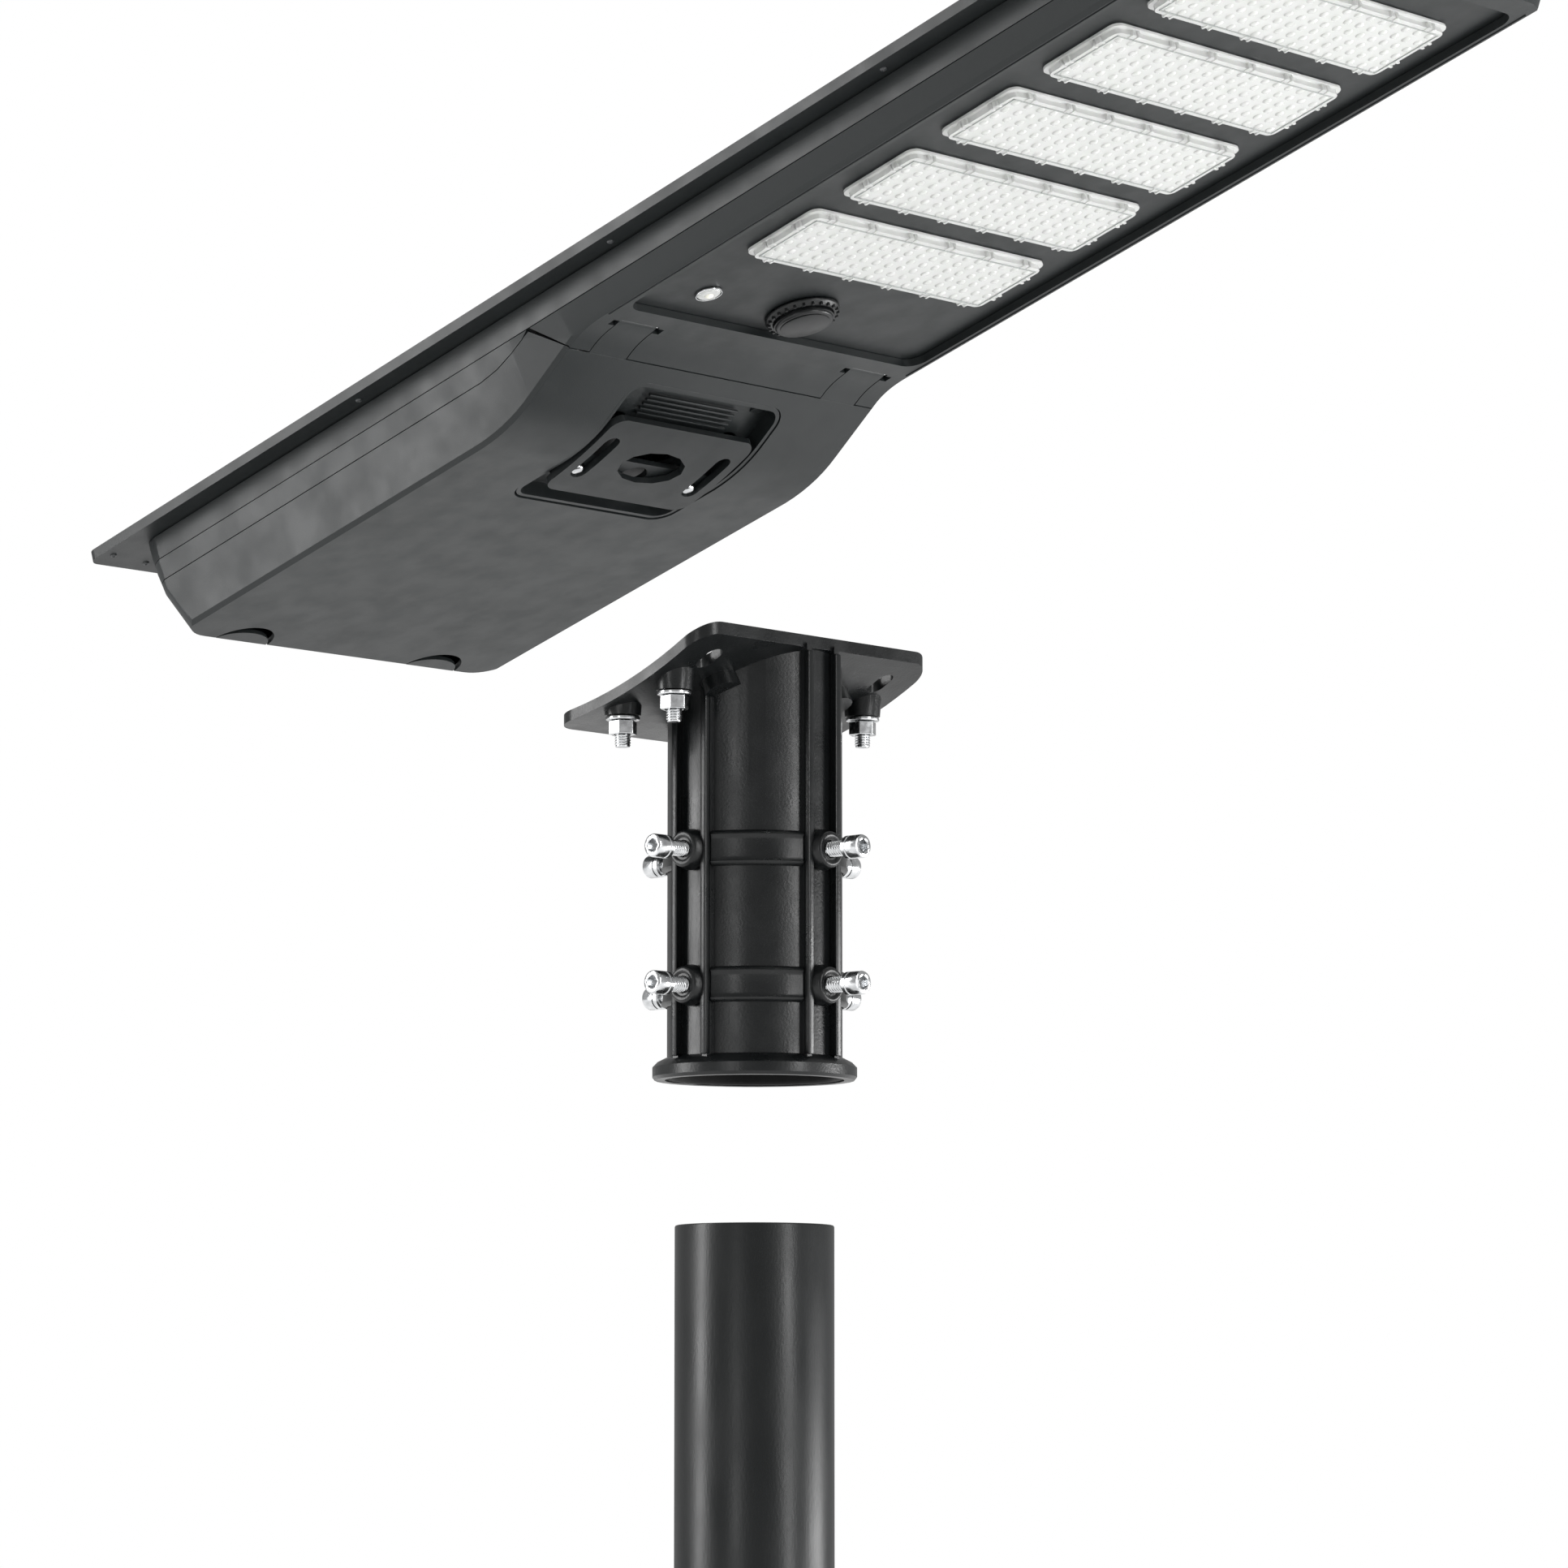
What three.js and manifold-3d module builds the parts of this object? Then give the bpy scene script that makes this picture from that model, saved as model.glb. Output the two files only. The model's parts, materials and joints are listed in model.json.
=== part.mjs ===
// Solar street lamp head with its pole adapter, laid out above the top of its pole.
// Millimetres, +Z up. Origin: centre of the pole section's lower end.
// X runs along the lamp, from the battery end (-X) to the light end (+X). Y runs across it.
import * as THREE from 'three';
import { mergeVertices } from 'three/addons/utils/BufferGeometryUtils.js';
import Module from 'manifold-3d';

const wasm = await Module();
wasm.setup();

// ---------------------------------------------------------------- driving dimensions

const GAP = 0.4; // clearance between neighbouring pieces
const FAR = 600; // reach of a cutting tool beyond the part

// Pole
const POLE_OD = 76;
const POLE_WALL = 3;
const POLE_LENGTH = 300;

// Adapter casting: a sleeve for the pole with a curved saddle plate on top
const ADAPTER_Z = 369; // lower face of the flange in this layout
const SLEEVE_R = 42;
const SLEEVE_BORE_R = 39.5;
const SLEEVE_BORE_DEPTH = 160;
const FLANGE_R = 49;
const FLANGE_HEIGHT = 9;
const LINER_BORE_R = 38.6;
const LINER_SEAT_R = 43;
const LINER_HEIGHT = 8;
const SCREW_ROWS = [43, 107.5]; // heights of the clamp screws above the flange face
const SCREW_R = 3.9;
const SCREW_HEAD_R = 5.6;
const BOSS_R = 8;
const BOSS_REACH = 49.5; // outer face of a screw boss, from the pole's axis
const BAND_HEIGHT = 16;
const RAIL_OFFSET = 9.5; // half the distance between the two rails beside a screw column
const SADDLE_THICKNESS = 5;
const SADDLE_HALF_WIDTH = 81;
const SADDLE_START = 8.5; // slope of the saddle at its low end, degrees
const SADDLE_END = 32.2; // slope of the saddle at its high end, degrees
const SADDLE_BOLT_Y = 66;
const SADDLE_BOLT_X = [10, -24];
const SADDLE_SEAT_DROP = [6, 3]; // washer seat below the plate's lower face, at each bolt column
const SADDLE_SLOT_X = 27;
const SADDLE_SLOT_Y = 60;

// Curved joint between saddle and head: both follow one cylinder about a crosswise axis
const ARC_R = 260;
const SADDLE_AXIS = { x: -95.5, z: 799 };
const CLAMP_Y = 39; // clamp bolts and slots, either side of the middle
const CLAMP_BOLT_R = 3.7;
const CLAMP_TRAVEL = 9.5;

// Head: its own frame has the underside of the LED plate at z = 0
const HEAD_X = 70.2;
const HEAD_Z = 749.3;
const HEAD_TILT = 17.2; // degrees, light end up
const HEAD_REAR = -406;
const HEAD_FRONT = 343;
const HEAD_TOP = 19.2;
const HEAD_HALF_WIDTH = 115.2; // at the top edge
const CREASE_HALF_WIDTH = 108.8; // at the lower edge
const HEAD_CORNER_R = 18;
const SHELL = 2.8; // wall thickness of the shells
const UPPER_SEAM_Z = 7.2; // between the upper housing and the pieces below it
const BAY_SEAM_Z = -3.2; // between the bay frame and the battery cover
const LIGHT_FACE_Z = -4; // lower face of the LED frame
const BELLY_Z = -31; // lower face of the battery cover

const PANEL = { rear: -428, front: 357, halfWidth: 128, bottom: 19.6, top: 24.8, corner: 6 };

const WINDOW = { rear: -62, front: 323, halfWidth: 102, corner: 9 };
const MODULE_COUNT = 5;
const MODULE_PITCH = 63.1;
const MODULE_WIDTH = 47.4;
const MODULE_LENGTH = 164.8;
const MODULE_HEIGHT = 4.2;
const SENSOR_X = -41;
const INDICATOR_Y = -65;

const PAD_CENTRE = 10; // middle of the pad on the cylinder, degrees in the head's frame
const PAD_HALF_ANGLE = 6.6;
const PAD_THICKNESS = 3.5;
const PAD_HALF_WIDTH = 49;
const PAD_AXIS = { x: -201.6, z: 225.05 }; // centre of the cylinder in the head's frame
const SLOT_HALF_ANGLE = 3.75;
const CLAMP_ANGLE = 7.1; // where the clamp bolts stand on the cylinder, degrees
const RECESS = { rear: -202, front: -110, halfWidth: 51.5, depth: 9, wall: 2.2, corner: 10 };

const HINGE = { x: -76, z: -0.9, r: 2.9, pinR: 1.4 };
const TONGUE_Y = 81; // middle of each hinge tongue
const TONGUE_HALF_WIDTH = 12.2;
const LATCH_Y = 66;
const LATCH_HALF_WIDTH = 17;
const LATCH_PIVOT = { x: -391, z: -27 };

// ---------------------------------------------------------------- materials

const finish = (color, roughness, metalness) => new THREE.MeshStandardMaterial({ color, roughness, metalness });
const MAT = {
  shell: finish(0x2b2f30, 0.5, 0.35),
  casting: finish(0x141617, 0.42, 0.6),
  pole: finish(0x1d2021, 0.38, 0.7),
  steel: finish(0xc8cacb, 0.22, 1.0),
  rubber: finish(0x0b0c0c, 0.8, 0.0),
  plate: finish(0x222526, 0.45, 0.4),
  lens: finish(0xe9eeec, 0.12, 0.0),
  board: finish(0xf1f2ee, 0.6, 0.0),
  plastic: finish(0x121314, 0.35, 0.0),
  aluminium: finish(0x3a3f41, 0.4, 0.8),
  cells: finish(0x0d1526, 0.3, 0.2),
  glass: finish(0x1c2436, 0.08, 0.0),
  battery: finish(0x2f5f9a, 0.5, 0.0),
};

// ---------------------------------------------------------------- solids

const rad = THREE.MathUtils.degToRad;
const vec = (x, y) => new THREE.Vector2(x, y);

// A closed three.js geometry as a solid that can be joined and cut.
function solid(geometry) {
  const bare = geometry.clone();
  bare.deleteAttribute('normal');
  bare.deleteAttribute('uv');
  const merged = mergeVertices(bare, 1e-4);
  return new wasm.Manifold(
    new wasm.Mesh({
      numProp: 3,
      vertProperties: new Float32Array(merged.attributes.position.array),
      triVerts: new Uint32Array(merged.index.array),
    }),
  );
}

function geometryOf(body) {
  const mesh = body.getMesh();
  const geometry = new THREE.BufferGeometry();
  geometry.setAttribute('position', new THREE.BufferAttribute(new Float32Array(mesh.vertProperties), 3));
  geometry.setIndex(new THREE.BufferAttribute(new Uint32Array(mesh.triVerts), 1));
  geometry.computeVertexNormals();
  return geometry;
}

const cut = (body, ...tools) => tools.reduce((rest, tool) => rest.subtract(tool), body);
const join = (body, ...others) => others.reduce((rest, other) => rest.add(other), body);

// Upright prism of a plan outline.
function slab(shape, z0, z1, curveSegments = 5) {
  const geometry = new THREE.ExtrudeGeometry(shape, { depth: z1 - z0, bevelEnabled: false, curveSegments });
  return solid(geometry.translate(0, 0, z0));
}

// Prism along Y of a side-view outline given as [x, z] points.
function sidePrism(points, y0, y1) {
  const shape = new THREE.Shape(points.map(([x, z]) => vec(x, z)));
  const geometry = new THREE.ExtrudeGeometry(shape, { depth: y1 - y0, bevelEnabled: false });
  return solid(geometry.rotateX(Math.PI / 2).translate(0, y1, 0));
}

function box(x0, x1, y0, y1, z0, z1) {
  const geometry = new THREE.BoxGeometry(x1 - x0, y1 - y0, z1 - z0);
  return solid(geometry.translate((x0 + x1) / 2, (y0 + y1) / 2, (z0 + z1) / 2));
}

// Cylinder or cone standing on z0, its axis on (x, y).
function upright(r0, r1, z0, z1, x = 0, y = 0, segments = 16) {
  const geometry = new THREE.CylinderGeometry(r1, r0, z1 - z0, segments);
  return solid(geometry.rotateX(Math.PI / 2).translate(x, y, (z0 + z1) / 2));
}

function crosswise(r, y0, y1, x, z, segments = 16) {
  const geometry = new THREE.CylinderGeometry(r, r, y1 - y0, segments);
  return solid(geometry.translate(x, (y0 + y1) / 2, z));
}

// Solid of revolution about Z; the profile is a closed list of [radius, z] points.
function turned(profile, segments = 48) {
  const closed = [...profile, profile[0]].map(([r, z]) => vec(r, z));
  if (THREE.ShapeUtils.area(closed) < 0) closed.reverse();
  return solid(new THREE.LatheGeometry(closed, segments).rotateX(Math.PI / 2));
}

function roundedRectangle(x0, x1, y0, y1, r) {
  const shape = new THREE.Shape();
  shape.moveTo(x0 + r, y0);
  shape.lineTo(x1 - r, y0);
  shape.absarc(x1 - r, y0 + r, r, -Math.PI / 2, 0, false);
  shape.lineTo(x1, y1 - r);
  shape.absarc(x1 - r, y1 - r, r, 0, Math.PI / 2, false);
  shape.lineTo(x0 + r, y1);
  shape.absarc(x0 + r, y1 - r, r, Math.PI / 2, Math.PI, false);
  shape.lineTo(x0, y0 + r);
  shape.absarc(x0 + r, y0 + r, r, Math.PI, Math.PI * 1.5, false);
  return shape;
}

// Rings with equal numbers of points, joined by side walls and closed by two flat ends.
function loft(rings) {
  const count = rings[0].length;
  const positions = rings.flat();
  const index = [];
  for (let k = 0; k + 1 < rings.length; k += 1) {
    for (let i = 0; i < count; i += 1) {
      const j = (i + 1) % count;
      const a = k * count + i;
      const b = k * count + j;
      index.push(a, b, b + count, a, b + count, a + count);
    }
  }
  const last = (rings.length - 1) * count;
  for (let i = 1; i + 1 < count; i += 1) {
    index.push(0, i + 1, i);
    index.push(last, last + i, last + i + 1);
  }
  const geometry = new THREE.BufferGeometry();
  geometry.setAttribute('position', new THREE.Float32BufferAttribute(positions.flat(), 3));
  geometry.setIndex(index);
  return solid(geometry);
}

// ---------------------------------------------------------------- scene graph

const lamp = new THREE.Group();
const head = new THREE.Group();
head.position.set(HEAD_X, 0, HEAD_Z);
head.rotation.y = -rad(HEAD_TILT);
lamp.add(head);

function place(parent, name, body, material) {
  const mesh = new THREE.Mesh(body instanceof THREE.BufferGeometry ? body : geometryOf(body), material);
  mesh.name = name;
  parent.add(mesh);
  return mesh;
}

// ---------------------------------------------------------------- pole

function poleSection() {
  const outer = POLE_OD / 2;
  const inner = outer - POLE_WALL;
  return turned([
    [inner, 0],
    [outer, 0],
    [outer, POLE_LENGTH - 1],
    [outer - 1, POLE_LENGTH],
    [inner + 0.5, POLE_LENGTH],
    [inner, POLE_LENGTH - 0.5],
  ]);
}

place(lamp, 'pole_section', poleSection(), MAT.pole);

// ---------------------------------------------------------------- adapter

// Point on the saddle's cylinder at a slope in degrees.
function onSaddle(radius, degrees) {
  return [SADDLE_AXIS.x + radius * Math.sin(rad(degrees)), SADDLE_AXIS.z - radius * Math.cos(rad(degrees))];
}

// Side view of a strip that follows a cylinder between two radii and two angles.
function arcStrip(point, inner, outer, from, to, steps = 14) {
  const points = [];
  for (let i = 0; i <= steps; i += 1) points.push(point(outer, from + ((to - from) * i) / steps));
  for (let i = steps; i >= 0; i -= 1) points.push(point(inner, from + ((to - from) * i) / steps));
  return points;
}

const SADDLE_TOP_R = ARC_R + GAP;
const SADDLE_LOW_R = SADDLE_TOP_R + SADDLE_THICKNESS;

// Everything on the saddle's concave side, for trimming what stands under it.
function aboveSaddle(radius) {
  const points = arcStrip(onSaddle, radius - 200, radius, SADDLE_START - 12, SADDLE_END + 12, 20);
  return sidePrism(points, -FAR, FAR);
}

function quarterTurns(make) {
  return [0, 1, 2, 3].map((turn) => make().rotate([0, 0, 90 * turn]));
}

function screwColumn() {
  const top = ADAPTER_Z + 230;
  const rails = [-1, 1].map((side) =>
    box(SLEEVE_R - 6, SLEEVE_R + 2.6, side * RAIL_OFFSET - 1.6, side * RAIL_OFFSET + 1.6, ADAPTER_Z + 2, top),
  );
  const bosses = SCREW_ROWS.map((row) =>
    upright(BOSS_R + 1, BOSS_R, 0, BOSS_REACH - 38, 0, 0, 16).rotate([0, 90, 0]).translate([38, 0, ADAPTER_Z + row]),
  );
  return join(rails[0], rails[1], ...bosses);
}

function adapterCasting() {
  const z = ADAPTER_Z;
  const sleeve = upright(SLEEVE_R, SLEEVE_R, z, z + 240, 0, 0, 36);
  const flange = turned([
    [SLEEVE_R - 3, z],
    [FLANGE_R - 1.2, z],
    [FLANGE_R, z + 1.5],
    [FLANGE_R, z + FLANGE_HEIGHT - 3],
    [FLANGE_R - 2.4, z + FLANGE_HEIGHT - 0.5],
    [SLEEVE_R + 0.6, z + FLANGE_HEIGHT + 1.5],
    [SLEEVE_R - 3, z + FLANGE_HEIGHT + 1.5],
  ], 36);
  const bands = SCREW_ROWS.map((row) => {
    const low = z + row - BAND_HEIGHT / 2;
    return turned([
      [SLEEVE_R - 3, low],
      [SLEEVE_R + 0.2, low],
      [SLEEVE_R + 1.6, low + 1.6],
      [SLEEVE_R + 1.6, low + BAND_HEIGHT - 1.6],
      [SLEEVE_R + 0.2, low + BAND_HEIGHT],
      [SLEEVE_R - 3, low + BAND_HEIGHT],
    ], 36);
  });
  const columns = quarterTurns(screwColumn);
  const tower = join(sleeve, flange, ...bands, ...columns);
  const trimmed = cut(tower, aboveSaddle(SADDLE_LOW_R - 1));

  const plate = sidePrism(
    arcStrip(onSaddle, SADDLE_TOP_R, SADDLE_LOW_R, SADDLE_START, SADDLE_END),
    -SADDLE_HALF_WIDTH,
    SADDLE_HALF_WIDTH,
  );
  const [low] = onSaddle(SADDLE_LOW_R, SADDLE_START);
  const [high] = onSaddle(SADDLE_TOP_R, SADDLE_END);
  const plan = roundedRectangle(low, high, -SADDLE_HALF_WIDTH, SADDLE_HALF_WIDTH, 13);
  const rounded = plate.intersect(slab(plan, 0, FAR * 2, 6));
  const seats = saddleBoltPlaces().map(({ x, y, seat }) => upright(8.6, 9.6, seat, seat + 14, x, y, 16));
  const clampBosses = [-1, 1].map((side) =>
    clampAxis(upright(9, 9, ARC_R + 2, ARC_R + 12, 0, 0, 16), side),
  );
  const under = cut(join(seats[0], ...seats.slice(1), ...clampBosses), aboveSaddle(SADDLE_LOW_R - 1));

  const bore = upright(SLEEVE_BORE_R, SLEEVE_BORE_R, z - 1, z + SLEEVE_BORE_DEPTH, 0, 0, 36);
  const linerSeat = upright(LINER_SEAT_R, LINER_SEAT_R, z - 1, z + LINER_HEIGHT + GAP, 0, 0, 36);
  const cableHole = upright(15, 15, z, z + 400, -14, 0, 24);
  const screwHoles = quarterTurns(() =>
    join(...SCREW_ROWS.map((row) =>
      upright(SCREW_R + GAP, SCREW_R + GAP, 20, 60, 0, 0, 12).rotate([0, 90, 0]).translate([0, 0, z + row]),
    )),
  );
  const boltHoles = saddleBoltPlaces().map(({ x, y }) => upright(4.4, 4.4, z, z + 300, x, y, 12));
  const clampHoles = [-1, 1].map((side) => clampAxis(upright(4.2, 4.2, ARC_R - 20, ARC_R + 11, 0, 0, 12), side));
  const slots = [-1, 1].map((side) => {
    const y = side * SADDLE_SLOT_Y;
    return slab(roundedRectangle(SADDLE_SLOT_X - 7, SADDLE_SLOT_X + 7, y - 4.5, y + 4.5, 4.4), z, z + 300);
  });
  return cut(
    join(trimmed, rounded, under),
    bore,
    linerSeat,
    cableHole,
    ...screwHoles,
    ...boltHoles,
    ...clampHoles,
    ...slots,
  );
}

// A body drawn along +Z from the saddle's axis, turned to stand on the cylinder at a clamp bolt.
function clampAxis(body, side) {
  const slope = HEAD_TILT + CLAMP_ANGLE;
  return body.rotate([0, 180 - slope, 0]).translate([SADDLE_AXIS.x, side * CLAMP_Y, SADDLE_AXIS.z]);
}

// Each saddle bolt: its place, the level of its washer seat and its name.
function saddleBoltPlaces() {
  const places = [];
  for (const [column, x] of SADDLE_BOLT_X.entries()) {
    for (const side of [-1, 1]) {
      const slope = THREE.MathUtils.radToDeg(Math.asin((x - SADDLE_AXIS.x) / SADDLE_LOW_R));
      const seat = onSaddle(SADDLE_LOW_R, slope)[1] - SADDLE_SEAT_DROP[column];
      const name = `${column === 0 ? 'front' : 'rear'}_${side < 0 ? 'left' : 'right'}`;
      places.push({ x, y: side * SADDLE_BOLT_Y, seat, name });
    }
  }
  return places;
}

place(lamp, 'adapter_casting', adapterCasting(), MAT.casting);

function poleLiner() {
  const z = ADAPTER_Z + 0.6;
  const outer = LINER_SEAT_R - GAP;
  return turned([
    [LINER_BORE_R, z + 1],
    [LINER_BORE_R + 1, z],
    [outer, z],
    [outer, z + LINER_HEIGHT - 1],
    [LINER_BORE_R, z + LINER_HEIGHT - 1],
  ], 36);
}

place(lamp, 'pole_liner', poleLiner(), MAT.rubber);

const hexagonCorner = (r, k) => vec(r * Math.cos(k * Math.PI / 3), r * Math.sin(k * Math.PI / 3));
const hexagon = (r) => new THREE.Shape([0, 1, 2, 3, 4, 5].map((k) => hexagonCorner(r, k)));

// Clamp screw along +X: plain shank, round head with a hexagon socket.
function clampScrew() {
  const tip = 40.2;
  const headStart = 60;
  const headEnd = 70.5;
  const shank = join(
    upright(SCREW_R - 1, SCREW_R, tip, tip + 1.2, 0, 0, 12),
    upright(SCREW_R, SCREW_R, tip + 1.2, headStart, 0, 0, 12),
    upright(SCREW_HEAD_R, SCREW_HEAD_R, headStart, headEnd - 0.8, 0, 0, 16),
    upright(SCREW_HEAD_R, SCREW_HEAD_R - 0.8, headEnd - 0.8, headEnd, 0, 0, 16),
  );
  const socket = slab(hexagon(3.2), headEnd - 5, headEnd + 1);
  return cut(shank, socket).rotate([0, 90, 0]);
}

const SIDES = ['front', 'right', 'rear', 'left'];
for (const [turn, side] of SIDES.entries()) {
  for (const [row, height] of SCREW_ROWS.entries()) {
    const mesh = place(lamp, `clamp_screw_${side}_${row === 0 ? 'lower' : 'upper'}`, clampScrew(), MAT.steel);
    mesh.rotation.z = (turn * Math.PI) / 2;
    mesh.position.z = ADAPTER_Z + height;
  }
}

// Saddle bolts hang under the plate: washer, nut and the bolt's thread below the nut.
for (const { x, y, seat, name } of saddleBoltPlaces()) {
  const washer = cut(
    upright(8.2, 8.2, seat - 2.2, seat - GAP, x, y, 24),
    upright(4.5, 4.5, seat - 4, seat + 2, x, y, 20),
  );
  place(lamp, `saddle_washer_${name}`, washer, MAT.steel);
  const nut = cut(
    slab(hexagon(7), 0, 6.5).translate([x, y, seat - 9.1]),
    upright(4.3, 4.3, seat - 12, seat, x, y, 20),
  );
  place(lamp, `saddle_nut_${name}`, nut, MAT.steel);
  const bolt = join(
    upright(3.2, 3.9, seat - 15, seat - 14, x, y, 16),
    upright(3.9, 3.9, seat - 14, seat + 3.6, x, y, 16),
  );
  place(lamp, `saddle_bolt_${name}`, bolt, MAT.steel);
}

// ---------------------------------------------------------------- tilt clamp, inside the head's recess

// Point on the pad's cylinder, in the head's frame.
function onPad(radius, degrees) {
  return [PAD_AXIS.x + radius * Math.sin(rad(degrees)), PAD_AXIS.z - radius * Math.cos(rad(degrees))];
}

function padAxis(body, y, degrees) {
  return body.rotate([0, 180 - degrees, 0]).translate([PAD_AXIS.x, y, PAD_AXIS.z]);
}

const CLAMP_OUTER_R = ARC_R - PAD_THICKNESS - 0.6;
const CLAMP_INNER_R = CLAMP_OUTER_R - 3;

function tiltClampPlate() {
  const half = 2.4;
  const strip = sidePrism(
    arcStrip(onPad, CLAMP_INNER_R, CLAMP_OUTER_R, CLAMP_ANGLE - half, CLAMP_ANGLE + half, 6),
    -46.5,
    46.5,
  );
  const holes = [-1, 1].map((side) => {
    return padAxis(upright(4.2, 4.2, ARC_R - 20, ARC_R + 10, 0, 0, 12), side * CLAMP_Y, CLAMP_ANGLE);
  });
  const cable = padAxis(upright(8, 8, ARC_R - 20, ARC_R + 10, 0, 0, 24), 0, CLAMP_ANGLE);
  return cut(strip, ...holes, cable);
}

place(head, 'tilt_clamp_plate', tiltClampPlate(), MAT.steel);

function tiltClampBolt(side) {
  const tip = ARC_R - 1;
  const under = CLAMP_INNER_R - GAP - CLAMP_TRAVEL;
  const bolt = join(
    slab(hexagon(6.2), under - 5.5, under),
    upright(CLAMP_BOLT_R, CLAMP_BOLT_R, under, tip - 1, 0, 0, 16),
    upright(CLAMP_BOLT_R, CLAMP_BOLT_R - 0.9, tip - 1, tip, 0, 0, 16),
  );
  return padAxis(bolt, side * CLAMP_Y, CLAMP_ANGLE);
}

place(head, 'tilt_clamp_bolt_left', tiltClampBolt(-1), MAT.steel);
place(head, 'tilt_clamp_bolt_right', tiltClampBolt(1), MAT.steel);

// ---------------------------------------------------------------- shells of the head

// Height of the lower face along the lamp: belly, slope and light face, joined by curves.
const LOWER_CURVE = new THREE.CurvePath();
const SLOPE = { bellyEnd: -166, bellyTurn: -140, slopeLow: -127, slopeHigh: -93, lightTurn: -83, lightStart: -72 };
const SLOPE_Z = { low: -22.4, high: -7.3 };
LOWER_CURVE.add(new THREE.LineCurve(vec(-440, BELLY_Z), vec(SLOPE.bellyEnd, BELLY_Z)));
LOWER_CURVE.add(new THREE.QuadraticBezierCurve(
  vec(SLOPE.bellyEnd, BELLY_Z),
  vec(SLOPE.bellyTurn - 4, -30.4),
  vec(SLOPE.slopeLow, SLOPE_Z.low),
));
LOWER_CURVE.add(new THREE.LineCurve(vec(SLOPE.slopeLow, SLOPE_Z.low), vec(SLOPE.slopeHigh, SLOPE_Z.high)));
LOWER_CURVE.add(new THREE.QuadraticBezierCurve(
  vec(SLOPE.slopeHigh, SLOPE_Z.high),
  vec(SLOPE.lightTurn - 1.5, LIGHT_FACE_Z),
  vec(SLOPE.lightStart, LIGHT_FACE_Z),
));
LOWER_CURVE.add(new THREE.LineCurve(vec(SLOPE.lightStart, LIGHT_FACE_Z), vec(400, LIGHT_FACE_Z)));

// The lower curve as points, raised by an offset at right angles to it.
function lowerPoints(raise = 0) {
  const points = [];
  for (const [k, curve] of LOWER_CURVE.curves.entries()) {
    const steps = k === 1 || k === 3 ? 7 : 1;
    for (let i = k === 0 ? 0 : 1; i <= steps; i += 1) {
      const at = curve.getPoint(i / steps);
      const along = curve.getTangent(i / steps);
      points.push([at.x - along.y * raise, at.y + along.x * raise]);
    }
  }
  return points;
}

// Cross-sections of the head along its length: widest at the top, narrowing to the lower crease.
function headBlock(inset) {
  const rings = lowerPoints(inset).map(([x, z]) => {
    const top = HEAD_HALF_WIDTH - inset;
    const crease = CREASE_HALF_WIDTH - inset;
    const half = [
      [top, HEAD_TOP - (inset > 0 ? SHELL : 0)],
      [top - 0.5, UPPER_SEAM_Z],
      [crease, z + 2],
      [crease - 2.2, z],
    ];
    const mirrored = half.map(([y, up]) => [-y, up]).reverse();
    return [...mirrored, ...half].reverse().map(([y, up]) => [x, y, up]);
  });
  return loft(rings);
}

// The head's plan with round corners, drawn in a little towards the belly.
function headPlan(inset) {
  const stations = [
    [HEAD_TOP + 2, 0, 0, 0],
    [UPPER_SEAM_Z, 0.6, 0.5, 0.5],
    [LIGHT_FACE_Z, 2.4, 8, 1.6],
    [-8, 3, 9, 2],
    [BELLY_Z, 12, 30, 6.2],
    [BELLY_Z - 2, 13, 31, 6.6],
  ];
  const rings = stations.map(([z, rear, front, side]) => {
    const r = HEAD_CORNER_R - inset;
    const shape = roundedRectangle(
      HEAD_REAR + rear + inset,
      HEAD_FRONT - front - inset,
      -(HEAD_HALF_WIDTH + 0.2 - side - inset),
      HEAD_HALF_WIDTH + 0.2 - side - inset,
      r,
    );
    return shape.getPoints(5).slice(0, -1).map((p) => [p.x, p.y, z]);
  });
  return loft(rings.reverse());
}

const OUTER = headBlock(0).intersect(headPlan(0));
const INNER = headBlock(SHELL).intersect(headPlan(SHELL));

const SEAM_FRONT = { low: -97, high: -112.4 };
// Where the bay frame tapers away: the seam under it climbs to the upper seam.
const TAPER = [
  [-152, BAY_SEAM_Z],
  [-140, BAY_SEAM_Z + 1.4],
  [-128, BAY_SEAM_Z + 4.6],
  [-118, BAY_SEAM_Z + 8.6],
];

function upperHousing() {
  const shell = cut(OUTER, box(-FAR, FAR, -FAR, FAR, -FAR, UPPER_SEAM_Z + GAP / 2));
  const hollow = cut(INNER, box(-FAR, FAR, -FAR, FAR, HEAD_TOP - SHELL, FAR));
  return cut(shell, hollow);
}

function bayFrame() {
  const top = UPPER_SEAM_Z - GAP / 2;
  const outline = [
    [-FAR, BAY_SEAM_Z],
    ...TAPER,
    [SEAM_FRONT.high - 2.2, top],
    [-FAR, top],
  ];
  const ring = cut(OUTER, INNER.intersect(box(-FAR, -100, -FAR, FAR, -FAR, FAR)));
  return ring.intersect(sidePrism(outline, -FAR, FAR));
}

function tongueCuts(grow) {
  return [-1, 1].map((side) => {
    const y = side * TONGUE_Y;
    const half = TONGUE_HALF_WIDTH + grow;
    return box(-130, HINGE.x + HINGE.r + grow, y - half, y + half, -FAR, HINGE.z + HINGE.r + grow);
  });
}

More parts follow.
